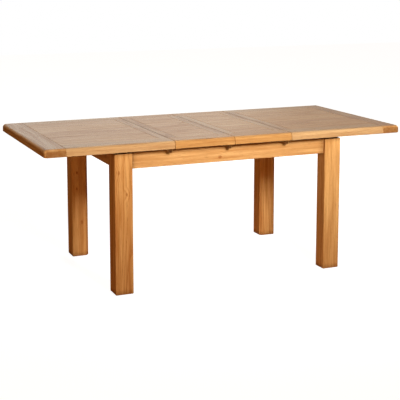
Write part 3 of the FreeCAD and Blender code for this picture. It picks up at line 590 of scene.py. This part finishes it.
STOP_POCKET = 0.004
RUNNER_SHARES = (0.1, 0.5, 0.9)
SLIDE_GAP = 0.0004
HALF_RUNNER = 0.013
SUNK_RADIUS = 0.0034
SUNK_DEPTH = 0.002
SUNK_SHANK = 0.0016
PLATE_MARGIN = 0.007
HALF_PLATE = 0.012
RUNNER_SCREW = 0.055
STOP_SCREW = 0.028
PLATE_SCREW = 0.016
runner_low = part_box("left_runners")[0]
stop_low, stop_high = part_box("left_runner_stops")
inner_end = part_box("left_joint_rail")[0][0]
plate_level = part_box("left_front_edge_board")[0][2] - SUNK_DEPTH
runner_screw = cross_screw(PAN_RADIUS, PAN_HEIGHT, PAN_CROWN, SHANK_RADIUS, RUNNER_SCREW)
stop_screw = cross_screw(PAN_RADIUS, PAN_HEIGHT, PAN_CROWN, SHANK_RADIUS, STOP_SCREW)
plate_screw = cross_screw(SUNK_RADIUS, 0.0, 0.0, SUNK_SHANK, PLATE_SCREW)
beside = (bearer_high[1] - bearer_low[1]) / 2 + SLIDE_GAP + HALF_RUNNER
runner_lines = [y - beside for y in (bearer_y, -bearer_y)]
for body, panel, plates, keepers in (("left_top", "left", "left_catch_plates", None),
                                     ("leaf_1", "leaf_1", "leaf_1_catch_plates", "leaf_1_keepers"),
                                     ("leaf_2", "leaf_2", "leaf_2_catch_plates", "leaf_2_keepers"),
                                     ("right_top", "right", None, "right_keepers")):
    screws = bmesh.new()
    if panel in ("left", "right"):
        turn = 1 if panel == "left" else -1
        for y in runner_lines:
            spots = [runner_low[0] + share * (inner_end - runner_low[0]) for share in RUNNER_SHARES]
            drive(screws, runner_screw, [(turn * x, turn * y, runner_low[2] + POCKET) for x in spots])
            middle = (stop_low[0] + stop_high[0]) / 2
            drive(screws, stop_screw, [(turn * middle, turn * y, stop_low[2] + STOP_POCKET)])
    for plate, end, margin in ((plates, 0, PLATE_MARGIN), (keepers, 1, -PLATE_MARGIN)):
        if plate:
            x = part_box(plate)[end][0] + margin
            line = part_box(plate)[1][1] - HALF_PLATE
            offset = HALF_PLATE - PLATE_MARGIN
            drive(screws, plate_screw, [(x, side * (line + step), plate_level)
                                        for side in (-1, 1) for step in (-offset, offset)])
    add_piece("cross_head_" + panel + "_screws", screws, zinc, body, "plated_steel", panel + "_top_screws")


# Floor, light and camera
# A pale studio floor that keeps the shadow, a dim warm surround and three soft lamps: a tall one high in
# front, a weak warm one at the left and a low one behind for the far sides.

def looks(tree):
    """Two marks on a ray: one if the lens sends it, one if the lens, a shine or something clear does."""
    ray = put(tree, "LightPath", out=None)
    straight = ray["Is Camera Ray"]
    looked_at = put(tree, "Math", {0: straight, 1: ray["Is Glossy Ray"]}, operation="MAXIMUM")
    looked_at = put(tree, "Math", {0: looked_at, 1: ray["Is Transmission Ray"]}, operation="MAXIMUM")
    return straight, looked_at


FLOOR_REACH = 14.0
floor_mesh = bpy.data.meshes.new("floor")
sweep = bmesh.new()
bmesh.ops.create_grid(sweep, x_segments=1, y_segments=1, size=FLOOR_REACH)
sweep.to_mesh(floor_mesh)
sweep.free()
floor = bpy.data.objects.new("floor", floor_mesh)
bpy.context.scene.collection.objects.link(floor)

# What the lens and shiny metal see is white paper with a shadow on it; the light it throws back is dimmer
PAPER_GLOW = 0.94
paper, tree = new_finish("matt_white_paper")[:2]
tree.nodes.clear()
looked_at = looks(tree)[1]
glow = put(tree, "Emission", {"Color": linear("#ffffff"), "Strength": PAPER_GLOW})
shade = put(tree, "BsdfDiffuse", {"Color": linear("#b0b0b0")})
lit = put(tree, "AddShader", {0: glow, 1: shade})
dull = put(tree, "BsdfDiffuse", {"Color": linear("#b46a2e")})
shown = put(tree, "MixShader", {0: looked_at, 1: dull, 2: lit})
put(tree, "OutputMaterial", {"Surface": shown})
floor_mesh.materials.append(paper)

studio = bpy.data.worlds.new("studio")
bpy.context.scene.world = studio
studio.use_nodes = True
tree = studio.node_tree
tree.nodes.clear()
straight, looked_at = looks(tree)
# The lens sees plain white. In the satin top the backdrop is warmer, and falls off to the right between two
# headings.
LIT_HEADING = 0.415
DIM_HEADING = 0.475
DIM_BACKDROP = 0.5
SURROUND = 0.13
way = put(tree, "TexCoord", out="Generated")
way = put(tree, "SeparateXYZ", {0: way})
fall = put(tree, "MapRange", {0: way, 1: LIT_HEADING, 2: DIM_HEADING, 3: 1.0, 4: DIM_BACKDROP})
fall = put(tree, "Math", {0: fall, 1: straight}, operation="MAXIMUM")
paint = put(tree, "Mix", {0: straight, 6: linear("#fff9ef"), 7: linear("#ffffff")}, 2, data_type="RGBA")
white = put(tree, "Background", {"Color": paint, "Strength": fall})
dim = put(tree, "Background", {"Color": linear("#ffd09c"), "Strength": SURROUND})
air = put(tree, "MixShader", {0: looked_at, 1: dim, 2: white})
put(tree, "OutputWorld", {"Surface": air})

BEAM = math.radians(90)
for name, size, power, tint, spot, way in (
        ("front_lamp", (0.7, 2.0), 262.0, "#ffffff", (0.0, -4.6, 3.1), (0.42, 4.2, 0.3)),
        ("left_lamp", (1.6, 1.6), 14.0, "#ffd29c", (-2.9, -3.6, 0.9), (1.0, 1.24, -0.05)),
        ("back_lamp", (2.0, 0.5), 70.0, "#fff4e6", (2.6, 4.4, 0.45), (-0.6, -1.0, 0.08))):
    light = bpy.data.lights.new(name, "AREA")
    light.shape = "RECTANGLE"
    light.size, light.size_y = size
    light.energy = power
    light.color = linear(tint)[:3]
    light.spread = BEAM
    lamp = bpy.data.objects.new(name, light)
    lamp.location = spot
    lamp.rotation_euler = Vector(way).to_track_quat("-Z", "Y").to_euler()
    lamp.visible_glossy = False
    bpy.context.scene.collection.objects.link(lamp)

DOWNWARD = math.radians(8.454)
HEADING = math.radians(23.224)
view = bpy.data.cameras.new("camera")
view.sensor_width = 36.0
view.lens = 92.235
view.shift_y = -0.2
camera = bpy.data.objects.new("camera", view)
camera.location = (-2.2127, -5.1582, 1.6341)
camera.rotation_euler = (math.pi / 2 - DOWNWARD, 0.0, -HEADING)
bpy.context.scene.collection.objects.link(camera)
bpy.context.scene.camera = camera
bpy.context.scene.view_settings.view_transform = "Standard"
